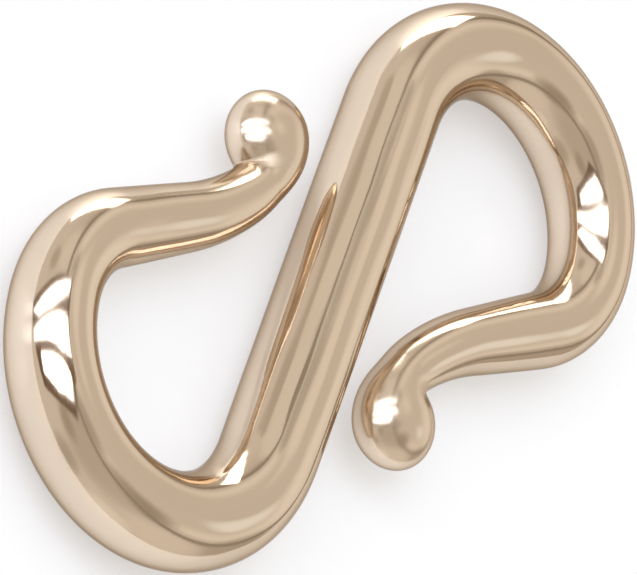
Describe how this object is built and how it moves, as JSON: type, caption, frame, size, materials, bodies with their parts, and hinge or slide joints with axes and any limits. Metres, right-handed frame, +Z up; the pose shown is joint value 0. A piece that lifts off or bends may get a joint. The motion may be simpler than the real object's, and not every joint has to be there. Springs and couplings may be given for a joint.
{
  "type": "s-hook clasp",
  "caption": "Polished S-shaped clasp for a necklace or bracelet: round wire bent into open end loops whose tapering arms curl over into small balls.",
  "frame": {"origin": "under the middle of the bar, on the surface that the clasp lies on", "axes": "+X along the clasp from loop to loop, the way it is pulled in wear; +Y across it, in the plane of the bent wire; +Z up, square to that plane"},
  "size_m": [0.0142, 0.0062, 0.0015],
  "materials": {
    "polished_gold": "mirror-polished pale rose gold over brass"
  },
  "bodies": {
    "root": {"s_hook": "polished_gold"}
  },
  "joints": []
}
